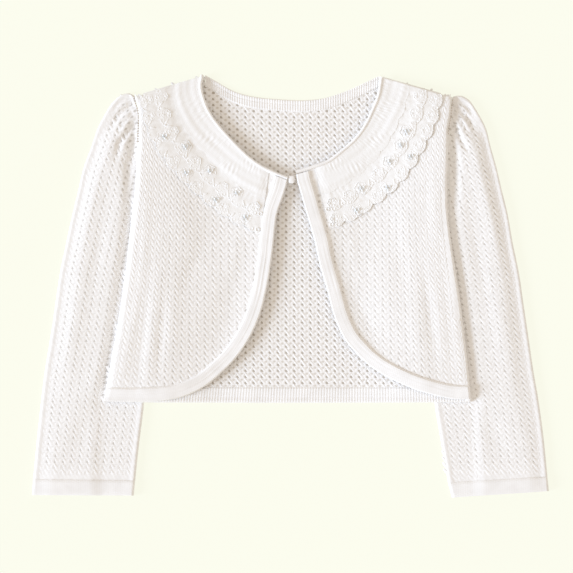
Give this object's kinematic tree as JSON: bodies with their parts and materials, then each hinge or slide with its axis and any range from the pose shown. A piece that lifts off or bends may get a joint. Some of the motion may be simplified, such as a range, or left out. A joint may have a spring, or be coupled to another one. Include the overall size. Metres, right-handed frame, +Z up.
{
  "type": "child's knitted lace cardigan",
  "caption": "Short open-front knitted cardigan laid flat, with long pleated-head sleeves, rounded front corners, ribbed edges and a tiered scalloped lace collar, closed at the neck.",
  "frame": {"origin": "on the surface it lies on, under the middle of its bounding box", "axes": "+X across the body, +Y towards the neck, +Z up from the surface it lies on"},
  "size_m": [0.4244, 0.3468, 0.0111],
  "materials": {
    "knit": "openwork knit, matt, soft off-white yarn",
    "rib": "fine ribbed knit, matt, soft off-white yarn",
    "lace": "gathered cotton lace with a faint sheen"
  },
  "bodies": {
    "root": {"back": "knit", "back_hem": "rib", "back_neck_band": "rib", "front_left": "knit", "front_band_left": "rib", "neck_piping_left": "rib", "sleeve_left": "knit", "cuff_left": "rib", "lace_outer_left": "lace", "lace_middle_left": "lace", "lace_inner_left": "lace", "front_right": "knit", "front_band_right": "rib", "neck_piping_right": "rib", "sleeve_right": "knit", "cuff_right": "rib", "lace_outer_right": "lace", "lace_middle_right": "lace", "lace_inner_right": "lace", "neck_tab": "rib"}
  },
  "joints": []
}
